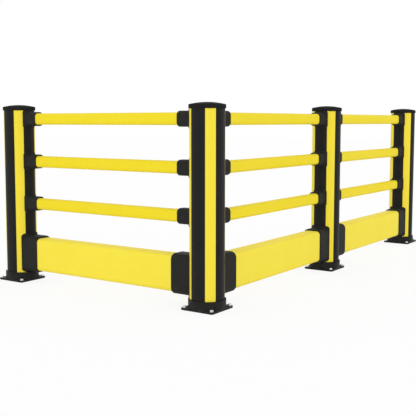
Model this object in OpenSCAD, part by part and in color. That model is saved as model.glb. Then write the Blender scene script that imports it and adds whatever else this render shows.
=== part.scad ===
// Corner crash protection barrier. Four round posts stand in an L: the corner
// post carries a short arm of one bay and a long arm of two bays. Each bay has
// three slim guard rails over one deep kick rail, and every rail end sits in a
// moulded socket on a post. Lengths are in millimetres. The origin is on the
// floor under the corner post, the long arm runs along +X and the short arm
// along +Y.

/* [Layout] */
// Distance between the axes of neighbouring posts
bay = 1500; // [700:10:2400]
// Height of the lowest guard rail's centre line above the floor
guard_low = 515; // [430:5:700]
// Distance between the centre lines of neighbouring guard rails
guard_step = 275; // [120:5:280]
// Gap between the foot's collar and the kick rail's socket above it
kick_clear = 3; // [1:1:60]

/* [Post] */
// Outer diameter of the post
post_d = 199; // [190:1:220]
// Wall of the post, measured between the strip channels
post_wall = 12; // [9:0.5:16]
// Height of the post's top end above the flange of the top socket
head_room = 0.7; // [0.5:0.1:150]

/* [Reflective strips] */
// Visible width of a strip
strip_w = 59; // [30:1:64]
// Thickness of the visible part of a strip
strip_lip = 3.5; // [2:0.25:4]
// Thickness of the tongues that slide under the post's lips
strip_tongue = 2.5; // [1.5:0.25:3]
// Reach of each tongue under the post's lip
strip_reach = 4; // [2:0.5:5]
// Clearance between a strip and its channel
strip_fit = 0.3; // [0.1:0.05:0.5]

/* [Cap] */
// Overhang of the cap's rim beyond the post
cap_over = 5; // [2:0.5:12]
// Height of the cap's rim
cap_rim = 23; // [14:1:40]
// Rise of the dome above the rim
cap_dome = 13; // [5:1:30]
// Wall of the cap
cap_wall = 4; // [3:0.5:8]
// Rounding of the rim's edges
cap_round = 2; // [0.5:0.5:5]
// Depth of the cap's plug inside the post
plug_depth = 25; // [10:1:28]
// Clearance between the plug and the post's bore
plug_fit = 0.3; // [0.1:0.05:1]

/* [Foot] */
// Thickness of the base plate
plate_t = 12; // [6:1:20]
// Corner radius of the base plate
plate_r = 12; // [2:1:14]
// Margin of the base plate beyond the collar, on each side
plate_margin = 0.2; // [0.1:0.1:30]
// Wall of the collar
collar_wall = 8; // [5:0.5:12]
// Height of the collar's top edge above the floor
collar_top = 60; // [40:1:90]
// Rounding of the collar's top edge
collar_round = 2; // [0.5:0.5:3]
// Clearance between the collar and the post
collar_fit = 0.3; // [0.1:0.05:1]
// Leg of the weld bead between the collar and the base plate
weld = 4; // [2:0.5:5]

/* [Anchors] */
// Diameter of the anchor bolt's shank
anchor_d = 12; // [8:1:14]
// Distance of an anchor's axis from the plate's edges
anchor_edge = 16.5; // [15:0.5:18]
// Hexagon of the bolt head, across the flats
anchor_af = 18; // [16:1:22]
// Height of the bolt head
anchor_head = 8; // [5:0.5:12]
// Outer diameter of the washer
washer_d = 24; // [22:1:26]
// Thickness of the washer
washer_t = 2.5; // [1.5:0.25:4]
// Clearance round the shank in the plate and in the washer
anchor_fit = 0.5; // [0.2:0.1:1.5]
// Clearance between a bolt head and its washer
anchor_seat = 0.1; // [0.05:0.05:0.5]

/* [Guard rails] */
// Depth of a guard rail, across the barrier
guard_w = 66; // [50:1:70]
// Height of a guard rail
guard_h = 72; // [66:1:90]
// Radius of a guard rail's edges
guard_r = 20; // [8:1:24]
// Wall of a guard rail
guard_wall = 6; // [3:0.5:6.5]

/* [Kick rails] */
// Distance from the post's side in to the face of a kick rail
kick_inset = 39.5; // [36.5:0.5:49.5]
// Height of a kick rail
kick_h = 212; // [180:1:214]
// Radius of a kick rail's edges
kick_r = 25; // [10:1:34]
// Wall of a kick rail
kick_wall = 8; // [4:0.5:12]

/* [Sockets] */
// Clearance between a rail and its socket
rail_fit = 0.3; // [0.1:0.05:1]
// Clearance between a socket's saddle and the post
saddle_fit = 0.2; // [0.1:0.05:0.5]
// Thickness of the back wall between the post and the socket's floor
back_wall = 16; // [10:1:30]
// Room left for expansion between a rail's end and the socket's floor
rail_room = 4; // [2:0.5:12]
// Thickness of the saddle flange that hugs the post
flange_t = 5; // [3:0.5:8]
// Projection of a guard rail's socket beyond the post
guard_socket = 85.5; // [60:0.5:120]
// Wall at the sides of a guard rail's socket
guard_side = 8.5; // [6:0.5:11]
// Wall above and below the guard rail in its socket
guard_over = 9; // [6:0.5:14]
// Radius of a guard rail socket's long edges
guard_socket_r = 25; // [14:1:30]
// Rounding of a guard rail socket's mouth
guard_mouth = 12; // [4:1:13]
// Width of the saddle flange beyond the sides of a guard rail's socket
guard_flange_side = 8.5; // [2:0.5:10]
// Height of the saddle flange beyond the top and bottom of a guard rail's socket
guard_flange_over = 10; // [2:0.5:14]
// Radius of the corners of a guard rail socket's flange
guard_flange_r = 12; // [6:1:24]
// Projection of a kick rail's socket beyond the post
kick_socket = 114; // [70:0.5:160]
// Wall at the sides of a kick rail's socket
kick_side = 6.5; // [5:0.5:9]
// Wall above and below the kick rail in its socket
kick_over = 10.7; // [6:0.1:11]
// Radius of a kick rail socket's long edges
kick_socket_r = 36; // [20:1:44]
// Rounding of a kick rail socket's mouth
kick_mouth = 18; // [6:1:19]
// Width of the saddle flange beyond the sides of a kick rail's socket
kick_flange_side = 3; // [1:0.5:6]
// Height of the saddle flange above the top of a kick rail's socket
kick_flange_top = 14; // [2:0.5:18]
// Height of the saddle flange below the bottom of a kick rail's socket
kick_flange_low = 6; // [1:0.5:6]
// Radius of the corners of a kick rail socket's flange
kick_flange_r = 22; // [10:1:36]

/* [Socket screws] */
// Diameter of the screws that hold a socket on the post
screw_d = 8; // [5:0.5:10]
// Diameter of the screw head
screw_head_d = 16; // [12:0.5:18]
// Height of the screw head
screw_head_h = 5; // [3:0.5:8]
// Length of thread that stands out inside the post
screw_end = 4; // [2:0.5:10]
// Clearance round the screw in the socket and in the post
screw_fit = 0.2; // [0.1:0.05:0.5]
// Distance from a guard rail's top or bottom face to a screw of its socket
guard_screw_over = 16; // [15:1:21]
// Distance from a kick rail's side face to a screw of its socket
kick_screw_side = 35; // [33:1:45]
// Distance from a kick rail's top or bottom face to a screw of its socket
kick_screw_over = 36; // [31:1:66]

/* [Hidden] */
$fn = 96;
// Reach of a cutting solid past the surface that it opens
past = 1;

post_r = post_d / 2;
bore_r = post_r - post_wall;
collar_in = post_r + collar_fit;
collar_r = collar_in + collar_wall;
plate_half = collar_r + plate_margin;
anchor_off = plate_half - anchor_edge;

// A kick rail's depth follows the post that it guards
kick_w = post_d - 2 * kick_inset;

// Heights that follow from the pieces stacked under them
kick_z = collar_top + kick_clear + kick_flange_low + kick_over + rail_fit + kick_h / 2;
top_z = guard_low + 2 * guard_step;
post_top = top_z + guard_h / 2 + rail_fit + guard_over + guard_flange_over + head_room;
post_h = post_top - plate_t;

// Distance from a post's axis to a socket's floor and to a rail's end
floor_x = post_r + back_wall;
rail_x = floor_x + rail_room;
rail_len = bay - 2 * rail_x;

STRIP_ANGLES = [45, 135, 225, 315];
LEVELS = ["low", "middle", "top"];

// Each post's name, its place and the directions in which rails leave it
POSTS = [
    ["corner", [0, 0], [0, 90]],
    ["middle", [bay, 0], [180, 0]],
    ["long_end", [2 * bay, 0], [180]],
    ["short_end", [0, bay], [270]]
];

// Each bay's name, the place of its first post and its direction
BAYS = [
    ["short", [0, 0], 90],
    ["long_inner", [0, 0], 0],
    ["long_outer", [bay, 0], 0]
];

// Words for the direction in which a socket faces
FACING = [[0, "east"], [90, "north"], [180, "west"], [270, "south"]];

function facing(a) = [for (f = FACING) if (f[0] == a) f[1]][0];
function level_z(i) = guard_low + i * guard_step;
function post_node(kind, p) = str(kind, "_", p[0]);
function socket_node(p, a, level) = str("socket_", p[0], "_", facing(a), "_", level);

YELLOW = [0.95, 0.85, 0.2];
BLACK = [0.16, 0.16, 0.16];
ZINC = [0.78, 0.79, 0.8];

// A rectangle of size w by h with round corners, centred on the origin
module rounded_rect(w, h, r) {
    square([w - 2 * r, h], center = true);
    square([w, h - 2 * r], center = true);
    for (x = [-1, 1], y = [-1, 1])
        translate([x * (w / 2 - r), y * (h / 2 - r)]) circle(r);
}

// The outline of an upright bar of width w and height len, its top corners
// rounded by f
module arch(w, len, f) {
    translate([-w / 2, 0]) square([w, len - f]);
    translate([f - w / 2, 0]) square([w - 2 * f, len]);
    for (x = [-1, 1]) translate([x * (w / 2 - f), len - f]) circle(f);
}

// A bar that runs along +X from the origin, w across and h high, with long
// edges of radius r and its far end rounded by f: a turned puck in each corner
// and two slabs that cross between them
module round_ended_bar(w, h, len, r, f) {
    rotate([0, 90, 0]) {
        for (x = [-1, 1], y = [-1, 1])
            translate([x * (h / 2 - r), y * (w / 2 - r), 0])
                rotate_extrude() intersection() {
                    arch(2 * r, len, f);
                    square([r, len]);
                }
        rotate([90, 0, 90]) linear_extrude(h - 2 * r, center = true) arch(w, len, f);
        rotate([90, 0, 0]) linear_extrude(w - 2 * r, center = true) arch(h, len, f);
    }
}

// Turns a flat outline (across, up) into a bar of that section along +X
module along_x(len) {
    rotate([90, 0, 90]) linear_extrude(len) children();
}

// Moves its children from the arm's own frame, +X away from the post, to the
// post at place and the arm in direction a
module on_arm(place, a) {
    translate([place[0], place[1], 0]) rotate([0, 0, a]) children();
}

// The screw places of a socket, as pairs of across and up
function guard_screws() = [for (z = [-1, 1]) [0, z * (guard_h / 2 - guard_screw_over)]];
function kick_screws() = let (across = kick_w / 2 - kick_screw_side, up = kick_h / 2 - kick_screw_over)
    [for (y = [-1, 1], z = [-1, 1]) [y * across, z * up]];

// Every socket height on a post, with that socket's screw places
function socket_rows() = concat(
    [for (i = [0 : len(LEVELS) - 1]) [level_z(i), guard_screws()]],
    [[kick_z, kick_screws()]]
);

// Round bars along +X at every screw place of one arm, from x0 to x1
module screw_bars(x0, x1, d) {
    for (row = socket_rows(), s = row[1])
        translate([x0, s[0], row[0] + s[1]]) rotate([0, 90, 0])
            cylinder(d = d, h = x1 - x0, $fn = 48);
}

// The flat outline of one strip, or of its channel when grown by its clearance
module strip_outline(gap) {
    shoulder_r = post_r - strip_lip;
    back_r = shoulder_r - strip_tongue;
    outer_r = post_r + (gap > 0 ? past : 0);
    tongue_w = strip_w + 2 * strip_reach + 2 * gap;
    intersection() {
        difference() {
            circle(outer_r);
            circle(back_r - gap);
        }
        translate([0, -strip_w / 2 - gap]) square([outer_r, strip_w + 2 * gap]);
    }
    intersection() {
        difference() {
            circle(shoulder_r + gap);
            circle(back_r - gap);
        }
        translate([0, -tongue_w / 2]) square([outer_r, tongue_w]);
    }
}

// The post: an extruded tube with four keyed channels for the strips
module post(p) {
    color(BLACK) translate([p[1][0], p[1][1], 0]) difference() {
        translate([0, 0, plate_t]) linear_extrude(post_h) difference() {
            circle(post_r);
            circle(bore_r);
            for (a = STRIP_ANGLES) rotate(a) strip_outline(strip_fit);
        }
        for (a = p[2]) rotate([0, 0, a])
            screw_bars(bore_r - post_wall, post_r + past, screw_d + 2 * screw_fit);
    }
}

// The four strips of one post
module strips(p) {
    color(YELLOW) translate([p[1][0], p[1][1], plate_t])
        for (a = STRIP_ANGLES) rotate([0, 0, a]) linear_extrude(post_h) strip_outline(0);
}

// The cap: a domed lid with a round plug that reaches into the post
module cap(p) {
    rim_r = post_r + cap_over;
    plug_r = bore_r - plug_fit;
    dome_r = (rim_r * rim_r + cap_dome * cap_dome) / (2 * cap_dome);
    dome_z = cap_rim + cap_dome - dome_r;
    color(BLACK) translate([p[1][0], p[1][1], post_top]) rotate_extrude() difference() {
        union() {
            translate([0, cap_round]) square([rim_r, cap_rim - 2 * cap_round]);
            square([rim_r - cap_round, cap_rim]);
            for (y = [cap_round, cap_rim - cap_round])
                translate([rim_r - cap_round, y]) circle(cap_round);
            translate([0, -plug_depth]) square([plug_r, plug_depth + past]);
            intersection() {
                translate([0, dome_z]) circle(dome_r, $fn = 720);
                translate([0, cap_rim - past]) square([rim_r - cap_round, cap_dome + 2 * past]);
            }
        }
        intersection() {
            translate([0, dome_z]) circle(dome_r - cap_wall, $fn = 720);
            translate([0, -plug_depth - past])
                square([plug_r - cap_wall, plug_depth + cap_rim + cap_dome + past]);
        }
    }
}

// The weld bead round the collar, cut off where it would pass the plate's edge
module weld_bead() {
    intersection() {
        rotate_extrude() polygon([
            [collar_r - past, plate_t - past],
            [collar_r + weld, plate_t - past],
            [collar_r + weld, plate_t],
            [collar_r, plate_t + weld],
            [collar_r - past, plate_t + weld]
        ]);
        linear_extrude(collar_top) rounded_rect(2 * plate_half, 2 * plate_half, plate_r);
    }
}

// The foot: a square base plate and the collar that the post stands in
module foot(p) {
    color(BLACK) translate([p[1][0], p[1][1], 0]) {
        difference() {
            linear_extrude(plate_t) rounded_rect(2 * plate_half, 2 * plate_half, plate_r);
            for (x = [-1, 1], y = [-1, 1])
                translate([x * anchor_off, y * anchor_off, -past])
                    cylinder(d = anchor_d + 2 * anchor_fit, h = plate_t + 2 * past, $fn = 48);
        }
        weld_bead();
        rotate_extrude() translate([collar_in, plate_t - past]) {
            square([collar_wall, collar_top - plate_t + past - collar_round]);
            square([collar_wall - collar_round, collar_top - plate_t + past]);
            translate([collar_wall - collar_round, collar_top - plate_t + past - collar_round])
                circle(collar_round, $fn = 48);
        }
    }
}

// The four anchor bolts of one foot, each over its washer
module anchors(p) {
    head_z = plate_t + washer_t + anchor_seat;
    color(ZINC) translate([p[1][0], p[1][1], 0])
        for (x = [-1, 1], y = [-1, 1]) translate([x * anchor_off, y * anchor_off, 0]) {
            translate([0, 0, plate_t]) difference() {
                cylinder(d = washer_d, h = washer_t, $fn = 48);
                translate([0, 0, -past])
                    cylinder(d = anchor_d + 2 * anchor_fit, h = washer_t + 2 * past, $fn = 48);
            }
            cylinder(d = anchor_d, h = head_z + past, $fn = 48);
            translate([0, 0, head_z]) hex_head();
        }
}

// A hexagon bolt head with its top corners turned off at 30 degrees
module hex_head() {
    corner_r = anchor_af / 2 / cos(30);
    cone_r = anchor_af / 2 * 0.95;
    fall = anchor_head / tan(30);
    intersection() {
        cylinder(r = corner_r, h = anchor_head, $fn = 6);
        cylinder(r1 = cone_r + fall, r2 = cone_r, h = anchor_head, $fn = 48);
    }
}

// The screws that hold every socket of one post, driven from inside the socket
module screws(p) {
    color(ZINC) for (a = p[2]) on_arm(p[1], a) {
        screw_bars(bore_r - screw_end, floor_x + past, screw_d);
        screw_bars(floor_x, floor_x + screw_head_h, screw_head_d);
    }
}

// A hollow rail of section w by h for one bay, at height z
module rail(b, z, w, h, r, wall) {
    color(YELLOW) on_arm(b[1], b[2]) translate([rail_x, 0, z]) along_x(rail_len)
        difference() {
            rounded_rect(w, h, r);
            rounded_rect(w - 2 * wall, h - 2 * wall, r - wall);
        }
}

module guard_rail(b, i) {
    rail(b, level_z(i), guard_w, guard_h, guard_r, guard_wall);
}

module kick_rail(b) {
    rail(b, kick_z, kick_w, kick_h, kick_r, kick_wall);
}

// A moulded socket at height z: a round-ended block with a saddle flange,
// hollowed for the rail, hugging the post and drilled for its screws.
// rail_size is [width, height, edge radius] of the rail, wall is [side, over],
// shape is [projection, edge radius, mouth rounding], flange is how far it
// stands out as [side, above, below], with its corner radius
module socket(p, a, z, rail_size, wall, shape, flange, screw_places) {
    in_w = rail_size[0] + 2 * rail_fit;
    in_h = rail_size[1] + 2 * rail_fit;
    out_w = in_w + 2 * wall[0];
    out_h = in_h + 2 * wall[1];
    color(BLACK) on_arm(p[1], a) translate([0, 0, z]) difference() {
        union() {
            round_ended_bar(out_w, out_h, post_r + shape[0], shape[1], shape[2]);
            intersection() {
                cylinder(r = post_r + flange_t, h = 3 * out_h, center = true, $fn = 180);
                translate([0, 0, (flange[1] - flange[2]) / 2]) along_x(post_r + 2 * flange_t)
                    rounded_rect(out_w + 2 * flange[0], out_h + flange[1] + flange[2], flange[3]);
            }
        }
        cylinder(r = post_r + saddle_fit, h = 3 * out_h, center = true, $fn = 180);
        translate([floor_x, 0, 0]) along_x(shape[0])
            rounded_rect(in_w, in_h, rail_size[2] + rail_fit);
        for (s = screw_places) translate([0, s[0], s[1]]) rotate([0, 90, 0])
            cylinder(d = screw_d + 2 * screw_fit, h = floor_x + past, $fn = 48);
    }
}

module guard_socket(p, a, i) {
    socket(p, a, level_z(i), [guard_w, guard_h, guard_r], [guard_side, guard_over],
        [guard_socket, guard_socket_r, guard_mouth],
        [guard_flange_side, guard_flange_over, guard_flange_over, guard_flange_r],
        guard_screws());
}

module kick_socket(p, a) {
    socket(p, a, kick_z, [kick_w, kick_h, kick_r], [kick_side, kick_over],
        [kick_socket, kick_socket_r, kick_mouth],
        [kick_flange_side, kick_flange_top, kick_flange_low, kick_flange_r],
        kick_screws());
}

for (p = POSTS) {
    post(p);
    strips(p);
    cap(p);
    foot(p);
    anchors(p);
    screws(p);
}
for (b = BAYS) {
    for (i = [0 : len(LEVELS) - 1])
        guard_rail(b, i);
    kick_rail(b);
}
for (p = POSTS, a = p[2]) {
    for (i = [0 : len(LEVELS) - 1])
        guard_socket(p, a, i);
    kick_socket(p, a);
}
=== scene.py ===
"""Looks of an L-shaped crash protection barrier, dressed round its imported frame.

The posts, their strips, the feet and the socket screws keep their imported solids
and get finishes. Rails, sockets, caps, anchors and weld beads are surfaces
worked out with numpy from the same sizes, with the eased edges, fillets and
ripples that the solids leave out. Lengths are metres in the row's own frame:
the origin is on the floor under the corner post, the long arm of two bays runs
along +X, the short arm of one bay along +Y, and +Z is up.
"""

import logging
import math
from dataclasses import dataclass, replace
from enum import Enum

import bpy
import numpy as np
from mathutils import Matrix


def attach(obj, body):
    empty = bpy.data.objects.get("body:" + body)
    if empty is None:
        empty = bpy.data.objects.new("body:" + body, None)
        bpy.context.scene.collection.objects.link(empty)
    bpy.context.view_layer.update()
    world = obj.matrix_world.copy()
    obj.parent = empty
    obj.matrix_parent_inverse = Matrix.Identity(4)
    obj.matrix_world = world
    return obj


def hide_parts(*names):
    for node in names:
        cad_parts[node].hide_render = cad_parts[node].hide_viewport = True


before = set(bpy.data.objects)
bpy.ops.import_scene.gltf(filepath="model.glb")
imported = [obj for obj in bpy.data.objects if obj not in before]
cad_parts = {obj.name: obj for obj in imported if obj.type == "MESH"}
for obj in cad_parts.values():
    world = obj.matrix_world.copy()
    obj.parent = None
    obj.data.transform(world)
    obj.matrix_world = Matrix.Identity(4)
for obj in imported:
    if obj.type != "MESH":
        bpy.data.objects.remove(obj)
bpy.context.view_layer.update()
BODY = "root"
BAY = 1.5
WHITE = (1.0, 1.0, 1.0, 1.0)
log = logging.getLogger("barrier")

Array = np.ndarray
Colour = tuple[float, float, float]
Out = bpy.types.NodeSocket
Coat = tuple[Out, Out, Out]


def columns(*parts: Array | float) -> Array:
    """Arrays or numbers side by side on a new last axis, each spread to the same shape."""
    return np.stack(np.broadcast_arrays(*parts), axis=-1)


def add_object(name: str, data: bpy.types.ID) -> bpy.types.Object:
    """Adds an object to the scene."""
    made = bpy.data.objects.new(name, data)
    bpy.context.scene.collection.objects.link(made)
    return made


class Facing(Enum):
    """The way that an arm leaves its post, by its turn in quarters from +X."""

    EAST = 0
    NORTH = 1
    WEST = 2
    SOUTH = 3

    def turned(self, points: Array) -> Array:
        """Turns points from the arm's frame, +X away from the post, to the row's.

        A quarter turn sends (x, y) to (-y, x), so the turn needs no rounding.

        Args:
            points: Any array whose last axis holds x, y, z.

        Returns:
            The turned points, in an array of the same shape.
        """
        for _ in range(self.value):
            points = columns(-points[..., 1], points[..., 0], points[..., 2])
        return points


class Ends(Enum):
    """How a stack of rings is closed."""

    POLES = "a centre point at each end"
    LOOPED = "the last ring joined to the first"


@dataclass(frozen=True)
class PostPlace:
    """A post's name, the place of its axis and the arms that leave it."""

    name: str
    x: float
    y: float
    arms: tuple[Facing, ...]

    def put(self, points: Array, facing: Facing = Facing.EAST) -> Array:
        """Moves points about the post's axis, in an arm's frame, to the row's frame."""
        return facing.turned(points) + np.array([self.x, self.y, 0.0])


@dataclass(frozen=True)
class RoundRect:
    """A rectangle with round corners, a section across (Y) by up (Z), raised by its lift."""

    across: float
    up: float
    radius: float
    lift: float = 0.0
    corner_steps: int = 10
    edge_steps: int = 8

    def offset(self, side: float, over: float | None = None) -> "RoundRect":
        """The outline, its sides and radius grown by side, and its top and bottom by over."""
        over = side if over is None else over
        return replace(self, across=self.across + 2 * side, up=self.up + 2 * over,
                       radius=self.radius + side)

    def ring(self) -> Array:
        """The outline's points, starting where the +Y face meets the top corner.

        Corner k is a quarter circle that starts at k times 90 degrees about its
        own centre, and the straight edge after it is cut in even steps.

        Returns:
            An array of (y, z) pairs, one row for each point.
        """
        angle = np.arange(4)[:, None] * np.pi / 2 + self._turn()[None, :]
        y = np.array([[1], [-1], [-1], [1]]) * (self.across / 2 - self.radius)
        z = np.array([[1], [1], [-1], [-1]]) * (self.up / 2 - self.radius)
        bend = bow(y, z, self.radius, angle)
        step = np.arange(1, self.edge_steps) / self.edge_steps
        begin, end = bend[:, -1], np.roll(bend[:, 0], -1, axis=0)
        edge = begin[:, None, :] + (end - begin)[:, None, :] * step[None, :, None]
        return np.concatenate([bend, edge], axis=1).reshape(-1, 2) + np.array([0.0, self.lift])

    def cornerness(self) -> Array:
        """How near each point is to a corner's middle: the sine of twice its turn, 0 on edges."""
        one = np.concatenate([np.sin(2 * self._turn()), np.zeros(self.edge_steps - 1)])
        return np.tile(np.clip(one, 0.0, 1.0), 4)

    def _turn(self) -> Array:
        """The angles of one corner's points, from 0 to a quarter turn."""
        return np.linspace(0.0, np.pi / 2, self.corner_steps + 1)


def arc(first: float, last: float, steps: int) -> Array:
    """Even steps of an angle given in degrees, as radians."""
    return np.radians(np.linspace(first, last, steps))


def bow(x: float | Array, z: float | Array, radius: float | Array, turn: Array) -> Array:
    """Points of a circle: (x + radius cos t, z + radius sin t) at each turn t."""
    return columns(x + radius * np.cos(turn), z + radius * np.sin(turn))


def revolve(profile: Array, around: int = 96) -> Array:
    """Turns a profile about the Z axis.

    Point i of the profile at (r, z) becomes the ring of points
    (r cos a, r sin a, z) for even angles a.

    Args:
        profile: Rows of (radius, height).
        around: Points in each ring.

    Returns:
        Rings of points, profile rows by angles by 3.
    """
    angle = np.arange(around) * 2 * np.pi / around
    radius, height = profile[:, :1], profile[:, 1:]
    return columns(radius * np.cos(angle), radius * np.sin(angle), height)


class Skin:
    """A surface gathered from stacks of rings and written as one mesh.

    Ring i, point j of a stack is joined to ring i + 1 and to point j + 1, and
    the last point to the first. Faces come from whole index grids. A pole lies
    POLE beyond its ring on the map, and no normal is divided by less than SHORTEST.
    """

    POLE = 0.01
    SHORTEST = 1e-12

    def __init__(self) -> None:
        """Starts an empty surface."""
        self.points: list[Array] = []
        self.edge: list[Array] = []
        self.faces: dict[int, list[Array]] = {3: [], 4: []}
        self.uv: dict[int, list[Array]] = {3: [], 4: []}
        self.count = 0

    def loft(self, rings: Array, edge: Array | float = 0.0, ends: Ends = Ends.POLES) -> "Skin":
        """Adds one stack of rings, with its faces pointing outwards.

        The map's u is the mean way from ring to ring and v the way round the
        longest ring, both in metres, so a pattern keeps its scale.

        Args:
            rings: Points as rings by points by 3.
            edge: How far each point takes part in edge wear, 0 to 1.
            ends: How the stack is closed.

        Returns:
            This surface, so that calls can follow each other.
        """
        rows, around = rings.shape[:2]
        edge = np.broadcast_to(edge, (rows, around)).reshape(-1)
        index, path = np.arange(rows * around).reshape(rows, around), rings
        if ends is Ends.LOOPED:
            index, path = np.vstack([index, index[:1]]), np.concatenate([rings, rings[:1]])
        steps = np.linalg.norm(np.diff(path, axis=0), axis=-1)
        u = np.concatenate([[0.0], np.cumsum(steps.mean(axis=1))])
        steps = np.linalg.norm(np.roll(rings, -1, axis=1) - rings, axis=-1)
        v = np.concatenate([[0.0], np.cumsum(steps[steps.sum(axis=1).argmax()])])
        near, far = index[:-1], index[1:]
        quads = columns(near, np.roll(near, -1, axis=1), np.roll(far, -1, axis=1), far)
        row, col = np.indices((len(u) - 1, around))
        uv = columns(u[columns(row, row, row + 1, row + 1)], v[columns(col, col + 1, col + 1, col)])
        points, quads, uv = rings.reshape(-1, 3), quads.reshape(-1, 4), uv.reshape(-1, 4, 2)
        tris, tri_uv = np.zeros((0, 3), dtype=int), np.zeros((0, 3, 2))
        if ends is Ends.POLES:
            first, last, pole = index[0], index[-1], rows * around
            tris = np.concatenate([columns(np.roll(first, -1), first, pole),
                                   columns(last, np.roll(last, -1), pole + 1)])
            tri_uv = np.concatenate([self._fan(u[0], u[0] - self.POLE, v[1:], v[:-1]),
                                     self._fan(u[-1], u[-1] + self.POLE, v[:-1], v[1:])])
            points = np.concatenate([points, [rings[0].mean(axis=0), rings[-1].mean(axis=0)]])
            edge = np.concatenate([edge, [0.0, 0.0]])
        if self._volume(points, quads, tris) < 0:
            quads, uv = quads[:, ::-1], uv[:, ::-1]
            tris, tri_uv = tris[:, ::-1], tri_uv[:, ::-1]
        self.points.append(points)
        self.edge.append(edge)
        for corners, faces, flat in ((3, tris, tri_uv), (4, quads, uv)):
            self.faces[corners].append(faces + self.count)
            self.uv[corners].append(flat)
        self.count += len(points)
        return self

    def mesh(self, name: str) -> bpy.types.Mesh:
        """Writes the mesh, with its map, its edge mask and its smooth normals.

        Each point's normal is the sum of its faces' area vectors, so a large
        flat face stays flat beside a small rounding.

        Args:
            name: The mesh's name.

        Returns:
            The finished mesh.
        """
        points, edge = np.concatenate(self.points), np.concatenate(self.edge)
        tris, quads = (np.concatenate(self.faces[n]) for n in (3, 4))
        uv = np.concatenate([np.concatenate(self.uv[n]).reshape(-1, 2) for n in (3, 4)])
        mesh = bpy.data.meshes.new(name)
        mesh.vertices.add(len(points))
        mesh.vertices.foreach_set("co", points.ravel())
        corners = np.concatenate([tris.ravel(), quads.ravel()])
        mesh.loops.add(len(corners))
        mesh.loops.foreach_set("vertex_index", corners)
        starts = [np.arange(len(tris)) * 3, len(tris) * 3 + np.arange(len(quads)) * 4]
        starts = np.concatenate(starts)
        mesh.polygons.add(len(starts))
        mesh.polygons.foreach_set("loop_start", starts)
        mesh.polygons.foreach_set("use_smooth", np.ones(len(starts), dtype=bool))
        mesh.update(calc_edges=True)
        mesh.uv_layers.new(name="surface").data.foreach_set("uv", uv.ravel())
        mesh.attributes.new("edge", "FLOAT", "POINT").data.foreach_set("value", edge)
        normals = np.zeros_like(points)
        for faces, (a, b, c, d) in ((tris, (1, 0, 2, 0)), (quads, (2, 0, 3, 1))):
            at = points[faces]
            area = np.cross(at[:, a] - at[:, b], at[:, c] - at[:, d])
            np.add.at(normals, faces, area[:, None, :])
        normals /= np.maximum(np.linalg.norm(normals, axis=1, keepdims=True), self.SHORTEST)
        mesh.normals_split_custom_set_from_vertices(normals)
        return mesh

    @staticmethod
    def _fan(u: float, tip: float, first: Array, last: Array) -> Array:
        """The map of a pole's triangles: two corners at u, and the tip midway between them."""
        corners = ((u, first), (u, last), (tip, (first + last) / 2))
        return np.stack([columns(at, v) for at, v in corners], axis=1)

    @staticmethod
    def _volume(points: Array, quads: Array, tris: Array) -> float:
        """The signed volume, a sixth of the sum of a.(b x c): positive if the faces point out."""
        split = np.concatenate([tris, quads[:, [0, 1, 2]], quads[:, [0, 2, 3]]])
        a, b, c = (points[split[:, k]] for k in range(3))
        return float(np.einsum("ij,ij->i", a, np.cross(b, c)).sum() / 6)


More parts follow.
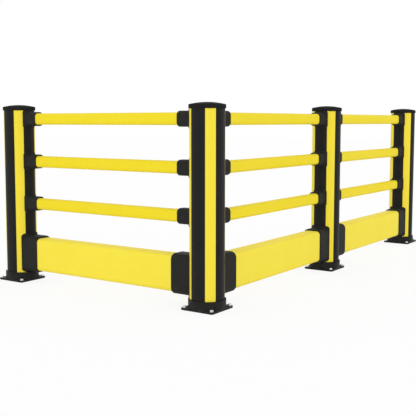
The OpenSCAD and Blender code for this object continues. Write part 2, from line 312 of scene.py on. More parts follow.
class Sheet:
    """Places shader nodes in one tree and links them by socket name."""

    def __init__(self, tree: bpy.types.NodeTree) -> None:
        """Takes the tree that the nodes go into."""
        self.tree = tree

    def put(self, kind: str, settings: dict[str, object] | None = None,
            **sockets: object) -> bpy.types.Node:
        """Adds one node.

        Args:
            kind: The node's type.
            settings: Values of the node's own properties.
            **sockets: A value or an output for each input, with _ for a space.

        Returns:
            The new node.
        """
        node = self.tree.nodes.new(kind)
        for key, value in (settings or {}).items():
            setattr(node, key, value)
        for key, value in sockets.items():
            self.feed(node.inputs[key.replace("_", " ")], value)
        return node

    def feed(self, socket: Out, value: object) -> None:
        """Links an output to a socket, or sets the socket's own value."""
        if isinstance(value, Out):
            self.tree.links.new(value, socket)
        else:
            socket.default_value = value

    def math(self, operation: str, first: object, second: object = 0.0) -> Out:
        """One step of arithmetic, held to 0..1 where it adds.

        Args:
            operation: The Math node's operation.
            first: A number or an output.
            second: A number or an output.

        Returns:
            The result's output.
        """
        node = self.put("ShaderNodeMath", {"operation": operation, "use_clamp": operation == "ADD"})
        self.feed(node.inputs[0], first)
        self.feed(node.inputs[1], second)
        return node.outputs[0]

    def times(self, first: object, second: object) -> Out:
        """The product of two values."""
        return self.math("MULTIPLY", first, second)

    def blend(self, first: object, share: float, second: object, rest: float) -> Out:
        """The sum of two values, each times its own share."""
        return self.math("ADD", self.times(first, share), self.times(second, rest))

    def mix(self, factor: object, first: object, second: object) -> Out:
        """A colour between two colours.

        Args:
            factor: 0 gives the first colour and 1 the second.
            first: A colour or an output.
            second: A colour or an output.

        Returns:
            The mixed colour's output.
        """
        node = self.put("ShaderNodeMix", {"data_type": "RGBA"})
        for slot, value in ((0, factor), (6, first), (7, second)):
            self.feed(node.inputs[slot], (*value, 1.0) if isinstance(value, tuple) else value)
        return node.outputs[2]

    def span(self, value: object, low: float, high: float, first: float = 0.0,
             last: float = 1.0) -> Out:
        """Maps the range from low to high to one from first to last, with soft ends."""
        return self.put("ShaderNodeMapRange", {"interpolation_type": "SMOOTHSTEP"}, Value=value,
                        From_Min=low, From_Max=high, To_Min=first, To_Max=last).outputs[0]

    def noise(self, vector: object, scale: object, detail: float = 2.0, rough: float = 0.5,
              warp: float = 0.0) -> Out:
        """Noise at so many grains a metre, as a value about 0.5."""
        return self.put("ShaderNodeTexNoise", Vector=vector, Scale=scale, Detail=detail,
                        Roughness=rough, Distortion=warp).outputs[0]

    def mixed(self, share: object, plain: bpy.types.Node, over: bpy.types.Node, end: str) -> None:
        """Mixes one shader over another by its share, and links the mix to the tree's end."""
        both = self.put("ShaderNodeMixShader")
        for socket, value in zip(both.inputs, (share, plain.outputs[0], over.outputs[0])):
            self.feed(socket, value)
        self.feed(self.tree.nodes[end].inputs["Surface"], both.outputs[0])

    def effect(self, kind: "Effect", **sockets: object) -> bpy.types.NodeOutputs:
        """Places a shared effect with this material's own values, and gives its outputs."""
        return self.put("ShaderNodeGroup", {"node_tree": kind.tree()}, **sockets).outputs


class Effect(Enum):
    """The shared effects: each one's title, and its inputs, which the material always gives."""

    MOTTLE = ("Mottle", "Vector", "Scale")
    GRAIN = ("Mould grain", "Vector", "Scale")
    STREAKS = ("Draw lines", "Vector")
    WEAR = ("Edge wear", "Edge", "Vector", "Scale", "Amount")
    SCUFF = ("Fine scuffs", "Vector", "Amount")
    DUST = ("Floor dust", "Vector", "Height", "Amount")

    def tree(self) -> bpy.types.NodeTree:
        """The effect's node group, built the first time that it is asked for.

        Returns:
            The group, with a socket for each input and each value that it makes.
        """
        title, *inputs = self.value
        if title in bpy.data.node_groups:
            return bpy.data.node_groups[title]
        tree = bpy.data.node_groups.new(title, "ShaderNodeTree")
        for name in inputs:
            kind = "NodeSocketVector" if name == "Vector" else "NodeSocketFloat"
            tree.interface.new_socket(name=name, in_out="INPUT", socket_type=kind)
        sheet = Sheet(tree)
        given = sheet.put("NodeGroupInput").outputs
        made = getattr(self, "_" + self.name.lower())(sheet, *(given[name] for name in inputs))
        for name in made:
            tree.interface.new_socket(name=name, in_out="OUTPUT", socket_type="NodeSocketFloat")
        sheet.put("NodeGroupOutput", **made)
        return tree

    def _mottle(self, sheet: Sheet, vector: Out, scale: Out) -> dict[str, Out]:
        """Slow clouds, as resin cools unevenly: two noises, one four times finer."""
        slow = sheet.noise(vector, scale, 3.0, 0.6)
        fast = sheet.noise(vector, sheet.times(scale, 4.0), 4.0, 0.6)
        return {"Shade": sheet.span(sheet.blend(slow, 0.65, fast, 0.35), 0.3, 0.7)}

    def _grain(self, sheet: Sheet, vector: Out, scale: Out) -> dict[str, Out]:
        """The fine leathery grain of a textured mould: cell bumps broken up by noise."""
        cell = sheet.put("ShaderNodeTexVoronoi", {"feature": "SMOOTH_F1"}, Vector=vector,
                         Scale=scale, Smoothness=0.4).outputs["Distance"]
        fleck = sheet.noise(vector, sheet.times(scale, 1.7), 3.0, 0.65)
        height = sheet.blend(cell, 0.6, fleck, 0.5)
        return {"Height": height, "Pores": sheet.span(height, 0.35, 0.75)}

    def _streaks(self, sheet: Sheet, vector: Out) -> dict[str, Out]:
        """Lines that a die draws along an extrusion, from a vector squeezed along its length."""
        fine, broad = sheet.noise(vector, 3.1, 3.0, 0.7), sheet.noise(vector, 0.45)
        return {"Height": sheet.blend(fine, 0.4, broad, 0.6), "Shade": sheet.span(broad, 0.3, 0.7)}

    def _wear(self, sheet: Sheet, edge: Out, vector: Out, scale: Out,
              amount: Out) -> dict[str, Out]:
        """Rubbed edges: the edge mask, broken up by noise and held above a threshold."""
        broken = sheet.times(edge, sheet.noise(vector, scale, 4.0, 0.65))
        return {"Mask": sheet.times(sheet.span(broken, 0.34, 0.62), amount)}

    def _scuff(self, sheet: Sheet, vector: Out, amount: Out) -> dict[str, Out]:
        """Hair scratches: where a warped noise crosses its middle, in scattered patches."""
        off = sheet.math("SUBTRACT", sheet.noise(vector, 1.0, warp=0.6), 0.5)
        hair = sheet.span(sheet.math("ABSOLUTE", off), 0.0, 0.012, 1.0, 0.0)
        patch = sheet.span(sheet.noise(vector, 0.37, 1.0), 0.52, 0.66)
        return {"Mask": sheet.times(sheet.times(hair, patch), amount)}

    def _dust(self, sheet: Sheet, vector: Out, height: Out, amount: Out) -> dict[str, Out]:
        """Settled dust: thickest at the floor, gone at the given height, and blotchy."""
        up = sheet.put("ShaderNodeSeparateXYZ", Vector=vector).outputs["Z"]
        low = sheet.math("SUBTRACT", 1.0, sheet.math("DIVIDE", up, height))
        blotch = sheet.span(sheet.noise(vector, 45.0, 4.0, 0.65), 0.38, 0.66)
        low = sheet.math("MAXIMUM", low, 0.0)
        return {"Mask": sheet.times(low, sheet.times(blotch, amount))}


class Pattern(Enum):
    """What a finish's lines follow."""

    SURFACE = "the piece's own map, u along its length"
    UPRIGHT = "the row's frame, squeezed along Z"


@dataclass(frozen=True)
class Finish:
    """A finish of the barrier. Each kind gives its own colour, dullness and relief.

    The swing is how far the roughness goes below and above its middle, the
    depth that of the relief in metres, and clouds and wear_scale the grains a
    metre of the slow clouds and of the rubbed edges.
    """

    name: str
    slot: str
    base: Colour
    shade: Colour
    rough: float
    gloss: float
    swing: tuple[float, float] = (-0.05, 0.06)
    depth: float = 0.00005
    metal: float = 0.0
    clouds: float = 9.0
    wear: float = 0.5
    wear_scale: float = 70.0
    rubbed: Colour = (0.30, 0.29, 0.28)
    relief: float = 0.6

    def material(self) -> bpy.types.Material:
        """Builds the material, or gives the one that is already there.

        Returns:
            The material, with its constants set on the Principled sockets.
        """
        if self.name in bpy.data.materials:
            return bpy.data.materials[self.name]
        made = bpy.data.materials.new(self.name)
        made.use_nodes = True
        made.diffuse_color = (*self.base, 1.0)
        sheet = Sheet(made.node_tree)
        colour, dull, height = self.dress(sheet)
        low, high = self.swing
        bump = sheet.put("ShaderNodeBump", Strength=self.relief, Distance=self.depth,
                         Height=height)
        for name, value in {
            "Specular IOR Level": self.gloss, "Metallic": self.metal, "Base Color": colour,
            "Roughness": sheet.span(dull, 0.0, 1.0, self.rough + low, self.rough + high),
            "Normal": bump.outputs["Normal"],
        }.items():
            sheet.feed(made.node_tree.nodes["Principled BSDF"].inputs[name], value)
        return made

    def dress(self, sheet: Sheet) -> Coat:
        """Gives this kind's colour, its dullness from 0 to 1, and its relief."""
        raise NotImplementedError

    def place(self, sheet: Sheet) -> Out:
        """The place on the object, in metres."""
        return sheet.put("ShaderNodeTexCoord").outputs["Object"]

    def cloud(self, sheet: Sheet) -> Out:
        """The slow clouds that shade the colour."""
        return sheet.effect(Effect.MOTTLE, Vector=self.place(sheet), Scale=self.clouds)["Shade"]

    def rub(self, sheet: Sheet, colour: Out) -> Out:
        """Lays the rubbed colour over the edges that the piece's edge attribute gives."""
        edge = sheet.put("ShaderNodeAttribute", {"attribute_name": "edge"}).outputs["Fac"]
        worn = sheet.effect(Effect.WEAR, Edge=edge, Vector=self.place(sheet),
                            Scale=self.wear_scale, Amount=self.wear)["Mask"]
        return sheet.mix(worn, colour, self.rubbed)


@dataclass(frozen=True)
class MouldedPolymer(Finish):
    """Black injection-moulded polymer with a fine mould grain."""

    depth: float = 0.00009
    wear: float = 0.35
    rubbed: Colour = (0.075, 0.075, 0.073)
    grain: float = 850.0

    def dress(self, sheet: Sheet) -> Coat:
        """Clouds the black a little, greys the rubbed edges and grains the surface."""
        cloud = self.cloud(sheet)
        grain = sheet.effect(Effect.GRAIN, Vector=self.place(sheet), Scale=self.grain)
        colour = self.rub(sheet, sheet.mix(cloud, self.base, self.shade))
        return colour, sheet.blend(cloud, 0.5, grain["Pores"], 0.5), grain["Height"]


@dataclass(frozen=True)
class ExtrudedPolymer(Finish):
    """Polymer drawn through a die, with faint lines along its length."""

    swing: tuple[float, float] = (-0.05, 0.08)
    clouds: float = 3.5
    wear: float = 0.2
    wear_scale: float = 40.0
    rubbed: Colour = (0.93, 0.84, 0.30)
    pattern: Pattern = Pattern.SURFACE
    scuff: float = 0.2

    def dress(self, sheet: Sheet) -> Coat:
        """Lays draw lines, slow clouds and hair scuffs over the colour."""
        drawn = sheet.effect(Effect.STREAKS, Vector=self._squeezed(sheet, 1.2, 260.0))
        scuff = sheet.effect(Effect.SCUFF, Vector=self._squeezed(sheet, 9.0, 70.0),
                             Amount=self.scuff)["Mask"]
        tone = sheet.blend(self.cloud(sheet), 0.6, drawn["Shade"], 0.4)
        colour = self.rub(sheet, sheet.mix(tone, self.base, self.shade))
        colour = sheet.mix(scuff, colour, self.rubbed)
        return colour, sheet.blend(tone, 0.6, scuff, 0.4), drawn["Height"]

    def _squeezed(self, sheet: Sheet, along: float, across: float) -> Out:
        """The pattern's vector, at so many grains a metre along and across the piece."""
        if self.pattern is Pattern.UPRIGHT:
            source, scale = self.place(sheet), (across, across, along)
        else:
            source = sheet.put("ShaderNodeUVMap", {"uv_map": "surface"}).outputs["UV"]
            scale = (along, across, 1.0)
        return sheet.put("ShaderNodeMapping", Vector=source, Scale=scale).outputs["Vector"]


@dataclass(frozen=True)
class PowderCoat(Finish):
    """Black powder coat on the steel feet, with its fine orange peel and some floor dust."""

    swing: tuple[float, float] = (-0.04, 0.2)
    depth: float = 0.00012
    clouds: float = 14.0
    wear_scale: float = 120.0
    peel: float = 420.0
    dusty: Colour = (0.20, 0.18, 0.155)
    dust_high: float = 0.045
    dust: float = 0.10

    def dress(self, sheet: Sheet) -> Coat:
        """Adds orange peel, a trace of floor dust and a few rubbed specks."""
        place, cloud = self.place(sheet), self.cloud(sheet)
        peel = sheet.effect(Effect.GRAIN, Vector=place, Scale=self.peel)["Height"]
        dust = sheet.effect(Effect.DUST, Vector=place, Height=self.dust_high,
                            Amount=self.dust)["Mask"]
        colour = sheet.mix(dust, sheet.mix(cloud, self.base, self.shade), self.dusty)
        return self.rub(sheet, colour), sheet.blend(cloud, 0.4, dust, 1.0), peel


@dataclass(frozen=True)
class ZincPlate(Finish):
    """Bright zinc plate on the anchors and screws, with its spangle and turning marks."""

    swing: tuple[float, float] = (-0.08, 0.12)
    depth: float = 0.00004
    metal: float = 0.85
    clouds: float = 60.0
    wear_scale: float = 300.0
    rubbed: Colour = (0.92, 0.92, 0.91)
    cells: float = 520.0
    marks: float = 1400.0

    def dress(self, sheet: Sheet) -> Coat:
        """Shades the plate by small cells and dulls it unevenly."""
        place = self.place(sheet)
        cell = sheet.put("ShaderNodeTexVoronoi", {"feature": "F1"}, Vector=place, Scale=self.cells)
        spangle = sheet.put("ShaderNodeSeparateColor", Color=cell.outputs["Color"])
        tone = sheet.blend(spangle.outputs[0], 0.4, self.cloud(sheet), 0.6)
        colour = self.rub(sheet, sheet.mix(tone, self.base, self.shade))
        return colour, tone, sheet.noise(place, self.marks, 3.0, 0.6)


# One rail yellow, copied: the kick rails' lighter copy is painted light, the guard rails' darker
# one painted shade.
KICK_YELLOW_PAINTED_LIGHT = ExtrudedPolymer("kick rail yellow painted light", "rail_yellow", (0.945, 0.795, 0.067),
                              (0.925, 0.770, 0.060), 0.55, 0.10)
GUARD_YELLOW_PAINTED_SHADE = ExtrudedPolymer("guard rail yellow painted shade", "rail_yellow", (0.885, 0.720, 0.024),
                               (0.860, 0.695, 0.020), 0.50, 0.08)
STRIP_YELLOW = ExtrudedPolymer("strip yellow", "strip_yellow", (0.905, 0.742, 0.052),
                               (0.885, 0.717, 0.046), 0.46, 0.12, pattern=Pattern.UPRIGHT,
                               scuff=0.15)
POST_BLACK = ExtrudedPolymer("post black", "post_polymer", (0.0110, 0.0110, 0.0109),
                             (0.0145, 0.0145, 0.0142), 0.52, 0.10, pattern=Pattern.UPRIGHT,
                             rubbed=(0.06, 0.06, 0.058), scuff=0.12, depth=0.00008)
SOCKET_BLACK = MouldedPolymer("socket black", "socket_polymer", (0.0185, 0.0185, 0.0175),
                              (0.0225, 0.0225, 0.0213), 0.55, 0.070)
CAP_BLACK = MouldedPolymer("cap black", "cap_polymer", (0.0150, 0.0150, 0.0148),
                           (0.0188, 0.0188, 0.0184), 0.68, 0.022, grain=700.0)
FOOT_BLACK = PowderCoat("foot black", "foot_steel", (0.0125, 0.0125, 0.0120),
                        (0.0160, 0.0160, 0.0154), 0.50, 0.11)
ZINC = ZincPlate("zinc plate", "zinc_steel", (0.84, 0.84, 0.82), (0.74, 0.75, 0.75), 0.34, 0.5)


def show(skin: Skin, name: str, finish: Finish, *nodes: str) -> None:
    """Makes a gathered surface a piece that rides on the barrier's one body.

    Args:
        skin: The surface, in the row's frame.
        name: The piece's name.
        finish: What it is dressed in.
        *nodes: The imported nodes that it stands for, if any.
    """
    piece = add_object(name, skin.mesh(name))
    piece.data.materials.append(finish.material())
    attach(piece, BODY)
    if nodes:
        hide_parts(*nodes)
    log.info("%s: %d faces in %s", name, len(piece.data.polygons), finish.name)


def dress_node(node: str, finish: Finish) -> None:
    """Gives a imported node, whose shape is right as it is, its finish."""
    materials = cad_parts[node].data.materials
    materials.clear()
    materials.append(finish.material())
    log.info("%s: packed node in %s", node, finish.name)


@dataclass(frozen=True)
class Post:
    """A post: its packed tube, strips and socket screws, dressed as they are."""

    place: PostPlace

    def build(self) -> None:
        """Dresses the post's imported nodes."""
        for kind, finish in (("post", POST_BLACK), ("strips", STRIP_YELLOW), ("screws", ZINC)):
            dress_node(f"{kind}_{self.place.name}", finish)


@dataclass(frozen=True)
class Cap:
    """The domed cap, turned about the post's axis with a plug that reaches into the post.

    Its rings end at a centre point from the hub's radius inwards, and the rise
    is the angle at which the rim's upper rounding starts.
    """

    place: PostPlace
    rim: float = 0.1045
    height: float = 0.023
    dome: float = 0.013
    wall: float = 0.004
    ease: float = 0.002
    plug: float = 0.0872
    depth: float = 0.025
    base: float = 1.121
    hub: float = 0.003
    rise: float = 72.0
    rim_wear: float = 0.7
    lip_wear: float = 0.4

    def build(self) -> None:
        """Shows the cap."""
        profile, edge = self._profile()
        skin = Skin().loft(self.place.put(revolve(profile)), edge[:, None])
        show(skin, f"domed_cap_{self.place.name}", CAP_BLACK, f"cap_{self.place.name}")

    def _profile(self) -> tuple[Array, Array]:
        """The section: dome, eased rim, underside, plug with a lead-in, and the hollow inside.

        The dome is a circle's arc: height z at radius r is the centre's height
        plus the root of R squared less r squared, where R comes from the rim's
        radius and the dome's rise. The wear is half a sine over each rounding.

        Returns:
            Rows of (radius, height), and the edge mask of each row.
        """
        big = (self.rim ** 2 + self.dome ** 2) / (2 * self.dome)
        centre = self.height + self.dome - big
        out = np.linspace(self.hub, self.rim - 0.0032, 16)
        top = columns(out, centre + np.sqrt(big ** 2 - out ** 2))
        shoulder, inner, end = self.rim - self.ease, self.plug - self.wall, -self.depth
        upper = bow(shoulder, self.height - self.ease, self.ease, arc(self.rise, 0, 6))
        lower = bow(shoulder, self.ease, self.ease, arc(0, -90, 5))
        neck = np.array([[self.plug + 0.0010, 0.0], [self.plug + 0.0002, -0.0003],
                         [self.plug, -0.0012], [self.plug, end + 0.0020],
                         [self.plug - 0.0006, end + 0.0004], [self.plug - 0.0016, end],
                         [inner + 0.0005, end], [inner, end + 0.0006]])
        back = np.linspace(inner, self.hub, 12)
        hollow = columns(back, centre + np.sqrt((big - self.wall) ** 2 - back ** 2))
        wear = [share * np.sin(np.linspace(0.0, np.pi, len(part))) for share, part in
                ((0.0, top), (self.rim_wear, upper), (self.lip_wear, lower), (0.0, neck),
                 (0.0, hollow))]
        profile = np.concatenate([top, upper, lower, neck, hollow])
        return profile + np.array([0.0, self.base]), np.concatenate(wear)


@dataclass(frozen=True)
class Foot:
    """A bolted foot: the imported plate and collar, the weld's ripples and four anchors.

    Each weld run goes from the first angle to the last, in so many drops, and
    its root reaches into the steel. The shank's ends close from the core's
    radius inwards, and the tip is its lower rounding. The seat is the gap
    between washer and head, and the cone the share of the head's flats at
    which its top is cut.
    """

    place: PostPlace
    plate: float = 0.012
    collar: float = 0.1078
    bead: float = 0.0043
    first: float = 17.0
    last: float = 73.0
    drops: int = 21
    root: float = 0.002
    weld_wear: float = 0.25
    bolt: float = 0.0915
    shank: float = 0.006
    core: float = 0.002
    tip: float = 0.0006
    across: float = 0.018
    head: float = 0.008
    cone: float = 0.95
    washer: float = 0.012
    hole: float = 0.0065
    washer_high: float = 0.0025
    seat: float = 0.0001
    ease: float = 0.0004

    def build(self) -> None:
        """Dresses the foot and shows its welds and anchors."""
        name = self.place.name
        dress_node(f"foot_{name}", FOOT_BLACK)
        welds, anchors = Skin(), Skin()
        for quarter in Facing:
            welds.loft(self.place.put(self._bead(), quarter), self.weld_wear)
        for x, y in ((-1, -1), (-1, 1), (1, -1), (1, 1)):
            corner = np.array([x, y, 0.0]) * self.bolt
            for rings, wear, ends in self._anchor():
                anchors.loft(self.place.put(rings + corner), wear[:, None], ends)
        show(welds, f"weld_bead_{name}", FOOT_BLACK)
        show(anchors, f"anchor_bolts_{name}", ZINC, f"anchors_{name}")

    def _bead(self) -> Array:
        """One of the four weld runs, in the plate's corner between +X and +Y.

        Round the collar at angle a, the bead's section is a quarter circle in
        the corner of plate and collar. Its leg swells by a scallop, the size
        of a sine, for each drop of weld, and shrinks as a root at both ends.

        Returns:
            Rings of points along the run.
        """
        run = np.linspace(0.0, 1.0, 8 * self.drops + 1)
        angle = np.radians(self.first + (self.last - self.first) * run)[:, None]
        scallop = np.abs(np.sin(run * np.pi * self.drops)) ** 0.7
        taper = np.clip(np.sqrt(np.minimum(run, 1 - run) / 0.02), 0.25, 1.0)
        leg = self.bead * taper * (0.95 + 0.07 * scallop)
        swell = bow(self.collar, self.plate, leg[:, None], arc(-8, 98, 10))
        root = np.array([self.collar - self.root, self.plate - self.root])
        section = np.concatenate([swell, np.broadcast_to(root, (len(run), 1, 2))], axis=1)
        radius, height = section[..., 0], section[..., 1]
        return columns(radius * np.cos(angle), radius * np.sin(angle), height)

    def _anchor(self) -> list[tuple[Array, Array, Ends]]:
        """One anchor on the Z axis: washer, shank and hexagon head.

        The head's radius at angle a is half the width across its flats over
        the cosine of the angle from the nearest flat's middle. A cone of 30
        degrees cuts its top corners: the side at radius R ends R less the
        cone's own radius, times the tangent of 30 degrees, below the top.

        Returns:
            The rings, the wear of each ring and the closing of each of the three.
        """
        low, ease = self.plate, self.ease
        top = low + self.washer_high
        ring = np.array([[self.hole, low], [self.washer - ease, low], [self.washer, low + ease],
                         [self.washer, top - ease], [self.washer - 0.3 * ease, top - 0.3 * ease],
                         [self.washer - ease, top], [self.hole + ease, top],
                         [self.hole, top - ease]])
        foot = top + self.seat
        rod = np.array([[self.core, 0.0], [self.shank - self.tip, 0.0], [self.shank, self.tip],
                        [self.shank, foot + ease], [self.core, foot + ease]])
        angle = np.arange(72) * 2 * np.pi / 72
        flat, crown = self.across / 2, foot + self.head
        side = flat / np.cos(np.mod(angle, np.pi / 3) - np.pi / 6)
        cone = flat * self.cone
        shoulder = crown - (side - cone) * math.tan(math.radians(30))
        rows = ((side * 0.4, foot), (side - ease, foot), (side, foot + ease),
                (side, shoulder - 0.0003), (side - 0.00025, shoulder + 0.00005),
                (cone + 0.0002, crown - 0.0001), (cone - 0.0004, crown), (cone * 0.5, crown))
        head = np.stack([columns(r * np.cos(angle), r * np.sin(angle), z) for r, z in rows])
        ring_wear = np.array([0.0, 0.0, 0.5, 0.8, 0.9, 0.8, 0.0, 0.0])
        head_wear = np.array([0.0, 0.3, 0.3, 0.9, 0.9, 0.8, 0.4, 0.0])
        return [(revolve(ring, 48), ring_wear, Ends.LOOPED),
                (revolve(rod, 24), np.zeros(len(rod)), Ends.POLES), (head, head_wear, Ends.POLES)]


@dataclass(frozen=True)
class Rail:
    """A hollow extruded rail from one post's socket to the next, its ends start from the axes."""

    section: RoundRect
    wall: float
    finish: Finish
    start: float = 0.1195
    ease: float = 0.0008
    edge_wear: float = 0.8

    def build(self, place: PostPlace, facing: Facing, height: float, node: str) -> None:
        """Shows the rail of one bay.

        Both outlines are carried straight along +X. The rings go out of the
        bore, over the eased end, along the outside and back into the bore.

        Args:
            place: The post that the bay starts at.
            facing: The bay's direction.
            height: The rail's centre line above the floor.
            node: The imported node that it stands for.
        """
        outer, inner, ease = self.section, self.section.offset(-self.wall), self.ease
        first, last = self.start, BAY - self.start
        along = np.linspace(first + ease, last - ease, 9)
        end = [inner, inner.offset(ease), outer.offset(-ease)]
        x = np.concatenate([[first + ease, first, first], along, [last, last, last - ease]])
        outlines = end + [outer] * len(along) + end[::-1]
        rings = np.stack([columns(at, *outline.ring().T) for at, outline in zip(x, outlines)])
        rings[..., 2] += height
        edge = np.zeros(rings.shape[:2])
        edge[2:-2] = self.edge_wear * outer.cornerness()
        skin = Skin().loft(place.put(rings, facing), edge, Ends.LOOPED)
        show(skin, f"extruded_{node}", self.finish, node)


@dataclass(frozen=True)
class Socket:
    """A moulded socket: a saddle flange on the post and a round-ended block that holds a rail.

    Side and over are the block's walls beside and above the rail, reach its
    length from the post, edge the radius of its corners, and mouth that of its
    front rounding, which leaves the lip. The pocket's floor lies the back's
    distance from the post, with the tuck as its rounding.
    """

    rail: RoundRect
    side: float
    over: float
    reach: float
    edge: float
    mouth: float
    flange_side: float
    flange_top: float
    flange_low: float
    flange_edge: float
    fillet: float
    rail_fit: float = 0.0003
    saddle_fit: float = 0.0002
    post: float = 0.0995
    flange: float = 0.005
    back: float = 0.016
    ease: float = 0.0014
    lip: float = 0.0009
    tuck: float = 0.0006

    def build(self, place: PostPlace, facing: Facing, height: float, node: str) -> None:
        """Shows the socket on one arm of one post.

        Args:
            place: The post that it hugs.
            facing: The way that its arm leaves the post.
            height: The rail's centre line above the floor.
            node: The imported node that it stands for.
        """
        rings, edge = (np.concatenate(both) for both in zip(self._saddle(), self._block()))
        rings[..., 2] += height
        skin = Skin().loft(place.put(rings, facing), edge)
        show(skin, f"moulded_{node}", SOCKET_BLACK, node)

    @property
    def body(self) -> RoundRect:
        """The block's outline: the rail's, grown by its clearance and by the walls."""
        grown = self.rail.offset(self.rail_fit).offset(self.side, self.over)
        return replace(grown, radius=self.edge)

    @property
    def skirt(self) -> RoundRect:
        """The flange's outline: the block's, grown at the sides, above and below."""
        return RoundRect(self.body.across + 2 * self.flange_side,
                         self.body.up + self.flange_top + self.flange_low, self.flange_edge,
                         (self.flange_top - self.flange_low) / 2)

    def _hug(self, outline: RoundRect, radius: float, lift: float = 0.0,
             shrink: float = 1.0) -> Array:
        """Lays an outline round the post: x is the lift and the root of radius^2 less y^2."""
        y, z = outline.ring().T * shrink
        return columns(np.sqrt(radius ** 2 - y ** 2) + lift, y, z)

    def _saddle(self) -> tuple[Array, Array]:
        """The flange, from the middle of its back to the fillet's end on the block.

        Its outer edge is a quarter circle of the ease. The fillet is a hollow
        quarter circle: at turn t it stands fillet times (1 - sin t) outside
        the block and fillet times (1 - cos t) above the flange.

        Returns:
            The rings and their edge mask.
        """
        skirt, body, ease = self.skirt, self.body, self.ease
        inner, outer = self.post + self.saddle_fit, self.post + self.flange
        bends, hollows = arc(0, 90, 5), arc(0, 90, 7)
        rings = [self._hug(skirt, inner, shrink=share) for share in (0.3, 0.6, 0.85)]
        rings += [self._hug(skirt.offset(-0.0005), inner), self._hug(skirt, inner + 0.0005)]
        rings += [self._hug(skirt.offset(-ease * (1 - math.cos(turn))),
                            outer - ease + ease * math.sin(turn)) for turn in bends]
        rings += [self._hug(body.offset(self.fillet * (1 - math.sin(turn))), outer,
                            self.fillet * (1 - math.cos(turn))) for turn in hollows]
        wear = [0.0] * 4 + [0.3, *(0.95 * np.sin(2 * bends) + 0.05)] + [0.0] * len(hollows)
        rings = np.stack(rings)
        return rings, np.broadcast_to(np.array(wear)[:, None], rings.shape[:2])

    def _block(self) -> tuple[Array, Array]:
        """The block from its straight sides over the mouth and down the pocket to its floor.

        The mouth is a circle's arc of radius m at each point of the outline.
        At turn t the surface has gone m (1 - cos t) in from the side and
        m sin t along the arm, and t stops where the wall left is the lip's.

        Returns:
            The rings and their edge mask.
        """
        body, pocket = self.body.ring(), self.rail.offset(self.rail_fit).ring()
        wall = np.linalg.norm(pocket - body, axis=1)
        inward = (pocket - body) / wall[:, None]
        start, floor = self.post + self.reach - self.mouth, self.post + self.back
        most = np.arccos(1 - (wall - self.lip) / self.mouth)
        turn = most[None, :] * np.linspace(0.0, 1.0, 10)[:, None]
        flat = body + inward * (self.mouth * (1 - np.cos(turn)))[..., None]
        x = start + self.mouth * np.sin(turn)
        sides = [(body, start - 0.02), (body, start - 0.004), *zip(flat, x)]
        sides += [(pocket - inward * (self.lip * share), x[-1] + self.lip * lift)
                  for share, lift in ((0.6, 0.08), (0.25, -0.12), (0.0, -0.6))]
        sides += [(pocket, floor + self.tuck), (pocket + inward * self.tuck, floor),
                  (pocket * 0.5, floor), (pocket * 0.2, floor)]
        rings = np.stack([columns(along, *ring.T) for ring, along in sides])
        edge = np.zeros(rings.shape[:2])
        edge[:2] = corner = 0.35 * self.rail.cornerness()
        rounding = 0.75 * np.sin(np.pi * np.linspace(0.0, 0.9, len(turn)))
        edge[2:12] = np.maximum(corner, rounding[:, None])
        edge[12:14] = 0.85
        return rings, edge


@dataclass(frozen=True)
class Barrier:
    """The whole barrier: where its posts stand, and what each arm carries."""

    levels: tuple[tuple[str, float], ...] = (("low", 0.515), ("middle", 0.790), ("top", 1.065))
    kick_height: float = 0.186
    guard: RoundRect = RoundRect(0.066, 0.072, 0.020)
    kick: RoundRect = RoundRect(0.120, 0.212, 0.025)
    guard_wall: float = 0.006
    kick_wall: float = 0.008

    def posts(self) -> list[PostPlace]:
        """The four posts, in the order of the frame's nodes."""
        return [PostPlace("corner", 0.0, 0.0, (Facing.EAST, Facing.NORTH)),
                PostPlace("middle", BAY, 0.0, (Facing.WEST, Facing.EAST)),
                PostPlace("long_end", 2 * BAY, 0.0, (Facing.WEST,)),
                PostPlace("short_end", 0.0, BAY, (Facing.SOUTH,))]

    def build(self) -> None:
        """Builds and dresses every piece, post by post and then bay by bay."""
        guard_socket = Socket(self.guard, side=0.0085, over=0.009, reach=0.0855, edge=0.025,
                              mouth=0.012, flange_side=0.0085, flange_top=0.010,
                              flange_low=0.010, flange_edge=0.012, fillet=0.0035)
        kick_socket = Socket(self.kick, side=0.0065, over=0.0107, reach=0.114, edge=0.036,
                             mouth=0.018, flange_side=0.003, flange_top=0.014,
                             flange_low=0.006, flange_edge=0.022, fillet=0.0013)
        for place in self.posts():
            Post(place).build()
            Cap(place).build()
            Foot(place).build()
            for facing in place.arms:
                arm = f"socket_{place.name}_{facing.name.lower()}"
                for level, height in self.levels:
                    guard_socket.build(place, facing, height, f"{arm}_{level}")
                kick_socket.build(place, facing, self.kick_height, f"{arm}_kick")
        corner, middle = self.posts()[:2]
        # Guard rails take the darker, painted-shade copy of the rail yellow; kick rails take the
        # painted-light copy.
        guard_rail = Rail(self.guard, self.guard_wall, GUARD_YELLOW_PAINTED_SHADE)
        kick_rail = Rail(self.kick, self.kick_wall, KICK_YELLOW_PAINTED_LIGHT)
        for name, place, facing in (("short", corner, Facing.NORTH),
                                    ("long_inner", corner, Facing.EAST),
                                    ("long_outer", middle, Facing.EAST)):
            for level, height in self.levels:
                guard_rail.build(place, facing, height, f"guard_rail_{name}_{level}")
            kick_rail.build(place, facing, self.kick_height, f"kick_rail_{name}")


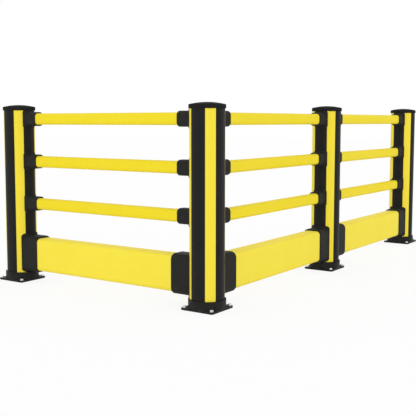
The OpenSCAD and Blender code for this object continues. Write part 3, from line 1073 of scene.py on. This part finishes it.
@dataclass(frozen=True)
class Studio:
    """A plain white studio: soft light all round, a soft lamp, and a floor with its shadow.

    Horizon and overhead are the world's strengths there, the lamp's angles are
    degrees, and floor_white is the floor's share of plain white where it is seen.
    """

    horizon: float = 1.10
    overhead: float = 0.85
    lamp: float = 0.11
    lamp_turn: float = -61.0
    lamp_high: float = 12.0
    lamp_soft: float = 22.0
    floor_colour: float = 0.95
    floor_white: float = 0.89
    floor_half: float = 40.0

    def build(self) -> None:
        """Sets up the world, the lamp and the floor."""
        self._world()
        self._lamp()
        self._floor()

    @staticmethod
    def _seen(sheet: Sheet) -> Out:
        """1 for rays that show the background: straight, glossy or through glass."""
        path = sheet.put("ShaderNodeLightPath").outputs
        return sheet.math("ADD", path["Is Camera Ray"],
                          sheet.math("ADD", path["Is Glossy Ray"], path["Is Transmission Ray"]))

    def _world(self) -> None:
        """A white world, seen at a strength of 1, that lights more from the sides."""
        world = bpy.data.worlds.new("white studio")
        world.use_nodes = True
        bpy.context.scene.world = world
        sheet = Sheet(world.node_tree)
        way = sheet.put("ShaderNodeTexCoord").outputs["Generated"]
        up = sheet.put("ShaderNodeSeparateXYZ", Vector=way).outputs["Z"]
        lit = world.node_tree.nodes["Background"]
        sheet.feed(lit.inputs["Color"], WHITE)
        sheet.feed(lit.inputs["Strength"], sheet.span(up, 0.0, 1.0, self.horizon, self.overhead))
        seen = sheet.put("ShaderNodeBackground", Color=WHITE, Strength=1.0)
        sheet.mixed(self._seen(sheet), lit, seen, "World Output")

    def _lamp(self) -> None:
        """One wide soft lamp from beside the camera, for the faces that look to the front."""
        data = bpy.data.lights.new("front lamp", "SUN")
        data.energy = self.lamp * math.pi
        data.angle = math.radians(self.lamp_soft)
        add_object("front lamp", data).rotation_euler = (
            math.radians(90.0 - self.lamp_high), 0.0, math.radians(self.lamp_turn))

    def _floor(self) -> None:
        """The floor: diffuse for the shadow, mixed with white where the background is seen."""
        mesh = bpy.data.meshes.new("studio_floor")
        corners = np.array([[-1, -1, 0], [1, -1, 0], [1, 1, 0], [-1, 1, 0]]) * self.floor_half
        mesh.from_pydata(corners.tolist(), [], [[0, 1, 2, 3]])
        made = bpy.data.materials.new("pale floor")
        made.use_nodes = True
        sheet = Sheet(made.node_tree)
        made.node_tree.nodes.remove(made.node_tree.nodes["Principled BSDF"])
        pale = sheet.put("ShaderNodeBsdfDiffuse", Color=(self.floor_colour,) * 3 + (1.0,))
        white = sheet.put("ShaderNodeEmission", Color=WHITE, Strength=1.0)
        share = sheet.times(self._seen(sheet), self.floor_white)
        sheet.mixed(share, pale, white, "Material Output")
        mesh.materials.append(made)
        add_object("studio_floor", mesh)


@dataclass(frozen=True)
class Camera:
    """The photograph's view, as its own pixels fix it: the focal length and centre are pixels."""

    place: tuple[float, float, float] = (-3.58514, -2.44418, 1.05036)
    turn: float = -55.25
    dip: float = 5.243
    focal: float = 784.12
    centre: tuple[float, float] = (200.85, 193.27)
    frame_side: float = 416.0
    sensor: float = 36.0
    far: float = 200.0

    def build(self) -> None:
        """Places the camera and makes it the scene's."""
        data = bpy.data.cameras.new("photograph view")
        data.sensor_width = self.sensor
        data.lens = self.focal * self.sensor / self.frame_side
        data.shift_x = 0.5 - self.centre[0] / self.frame_side
        data.shift_y = self.centre[1] / self.frame_side - 0.5
        data.clip_end = self.far
        camera = add_object("photograph view", data)
        camera.location = self.place
        camera.rotation_euler = (math.radians(90.0 - self.dip), 0.0, math.radians(self.turn))
        bpy.context.scene.camera = camera


def main() -> None:
    """Builds the camera, the barrier and the studio."""
    logging.basicConfig(level=logging.INFO, format="%(name)s: %(message)s")
    Camera().build()
    Barrier().build()
    Studio().build()
    bpy.context.scene.view_settings.view_transform = "Standard"


if __name__ == "__main__":
    main()
